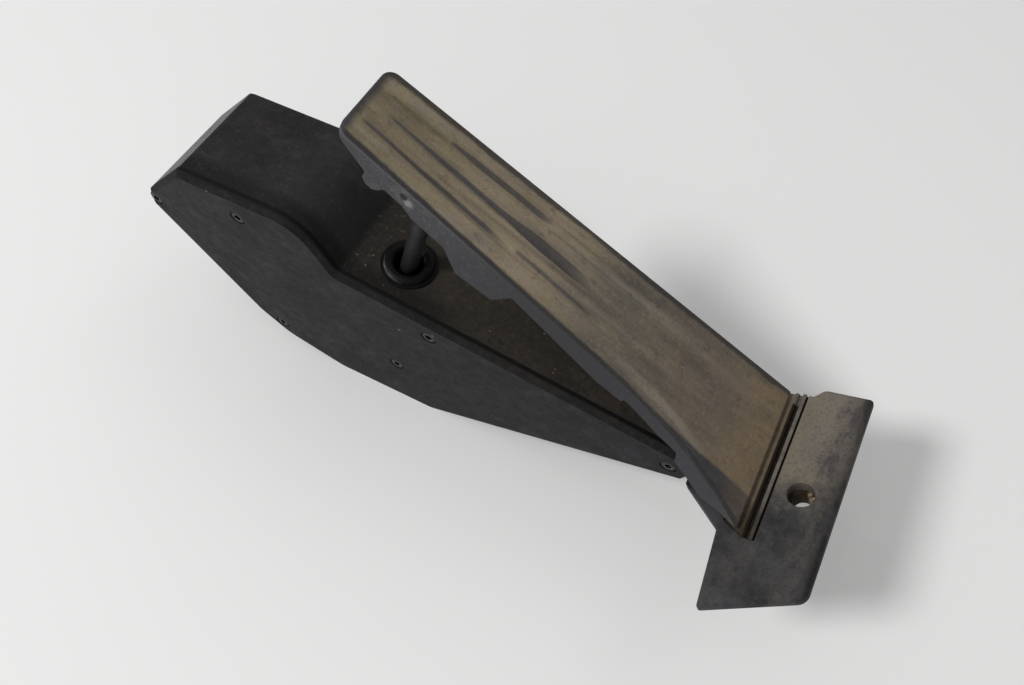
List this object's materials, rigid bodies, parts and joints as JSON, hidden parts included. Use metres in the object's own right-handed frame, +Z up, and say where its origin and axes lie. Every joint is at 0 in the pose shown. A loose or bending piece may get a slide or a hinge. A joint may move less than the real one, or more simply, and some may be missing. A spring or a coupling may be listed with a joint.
{
  "type": "accelerator pedal",
  "caption": "Floor-hinged accelerator pedal: a flared tread plate hinged on a plastic sensor housing, with push rod, rubber grommet, plug socket and a heel flange with a bolt hole.",
  "frame": {"origin": "centre of the bounding box, on the plane of the housing's resting flat", "axes": "+X along the module from its nose to the heel flange, +Y across from the side cover to the plug side, +Z up from the resting flat"},
  "size_m": [0.2934, 0.0962, 0.1478],
  "materials": {
    "housing_black": "black glass-filled plastic, matt",
    "cover_grey": "dark blue-grey plastic, matt and scuffed",
    "screw_steel": "dull dark steel",
    "sleeve_steel": "yellow passivated steel with rust",
    "hinge_black": "black flexible plastic, matt",
    "pedal_grey": "dark grey plastic under brown dust",
    "socket_black": "slippery black plastic",
    "rod_black": "black plastic, satin",
    "grommet_rubber": "black rubber with a soft shine",
    "lever_black": "black glass-filled plastic",
    "shaft_steel": "ground steel",
    "bush_bronze": "sintered bronze",
    "spring_steel": "oiled spring steel",
    "shoe_tan": "tan bearing plastic",
    "stop_rubber": "black rubber",
    "rotor_grey": "grey plastic",
    "magnet_dark": "dark sintered magnet",
    "board_green": "green board lacquer",
    "chip_black": "black moulded package",
    "pin_tin": "tinned contact"
  },
  "bodies": {
    "housing": {"housing_body": "housing_black", "side_cover": "cover_grey", "cover_screws": "screw_steel", "heel_sleeve": "sleeve_steel", "hinge_strip": "hinge_black", "rod_grommet": "grommet_rubber", "near_bush": "bush_bronze", "far_bush": "bush_bronze", "outer_return_spring": "spring_steel", "inner_return_spring": "spring_steel", "friction_shoe": "shoe_tan", "idle_stop": "stop_rubber", "sensor_board": "board_green", "field_sensors": "chip_black", "board_screws": "screw_steel", "contact_pins": "pin_tin"},
    "pedal": {"pedal_plate": "pedal_grey", "rod_socket": "socket_black"},
    "rod": {"push_rod": "rod_black"},
    "lever": {"lever": "lever_black", "lever_shaft": "shaft_steel", "sensor_rotor": "rotor_grey", "rotor_magnets": "magnet_dark"}
  },
  "joints": [
    {"name": "pedal_hinge", "type": "hinge", "parent": "housing", "child": "pedal", "pos_m": [0.12111, 0.01156, 0.05835], "axis": [0, -1, 0], "range_deg": [0, 12], "stiffness_Nm_per_rad": 7, "springref_deg": -13.75},
    {"name": "rod_pivot", "type": "hinge", "parent": "pedal", "child": "rod", "pos_m": [-0.01963, 0.01656, 0.12276], "axis": [0, -1, 0], "range_deg": [-8, 0]},
    {"name": "lever_turn", "type": "hinge", "parent": "housing", "child": "lever", "pos_m": [-0.09871, 0.01656, 0.038], "axis": [0, 1, 0], "range_deg": [0, 33], "deforming": ["outer_return_spring", "inner_return_spring"]}
  ],
  "couplings": [
    {"joint": "rod_pivot", "follows": "pedal_hinge", "ratio": -0.66},
    {"joint": "lever_turn", "follows": "pedal_hinge", "ratio": 2.747}
  ]
}
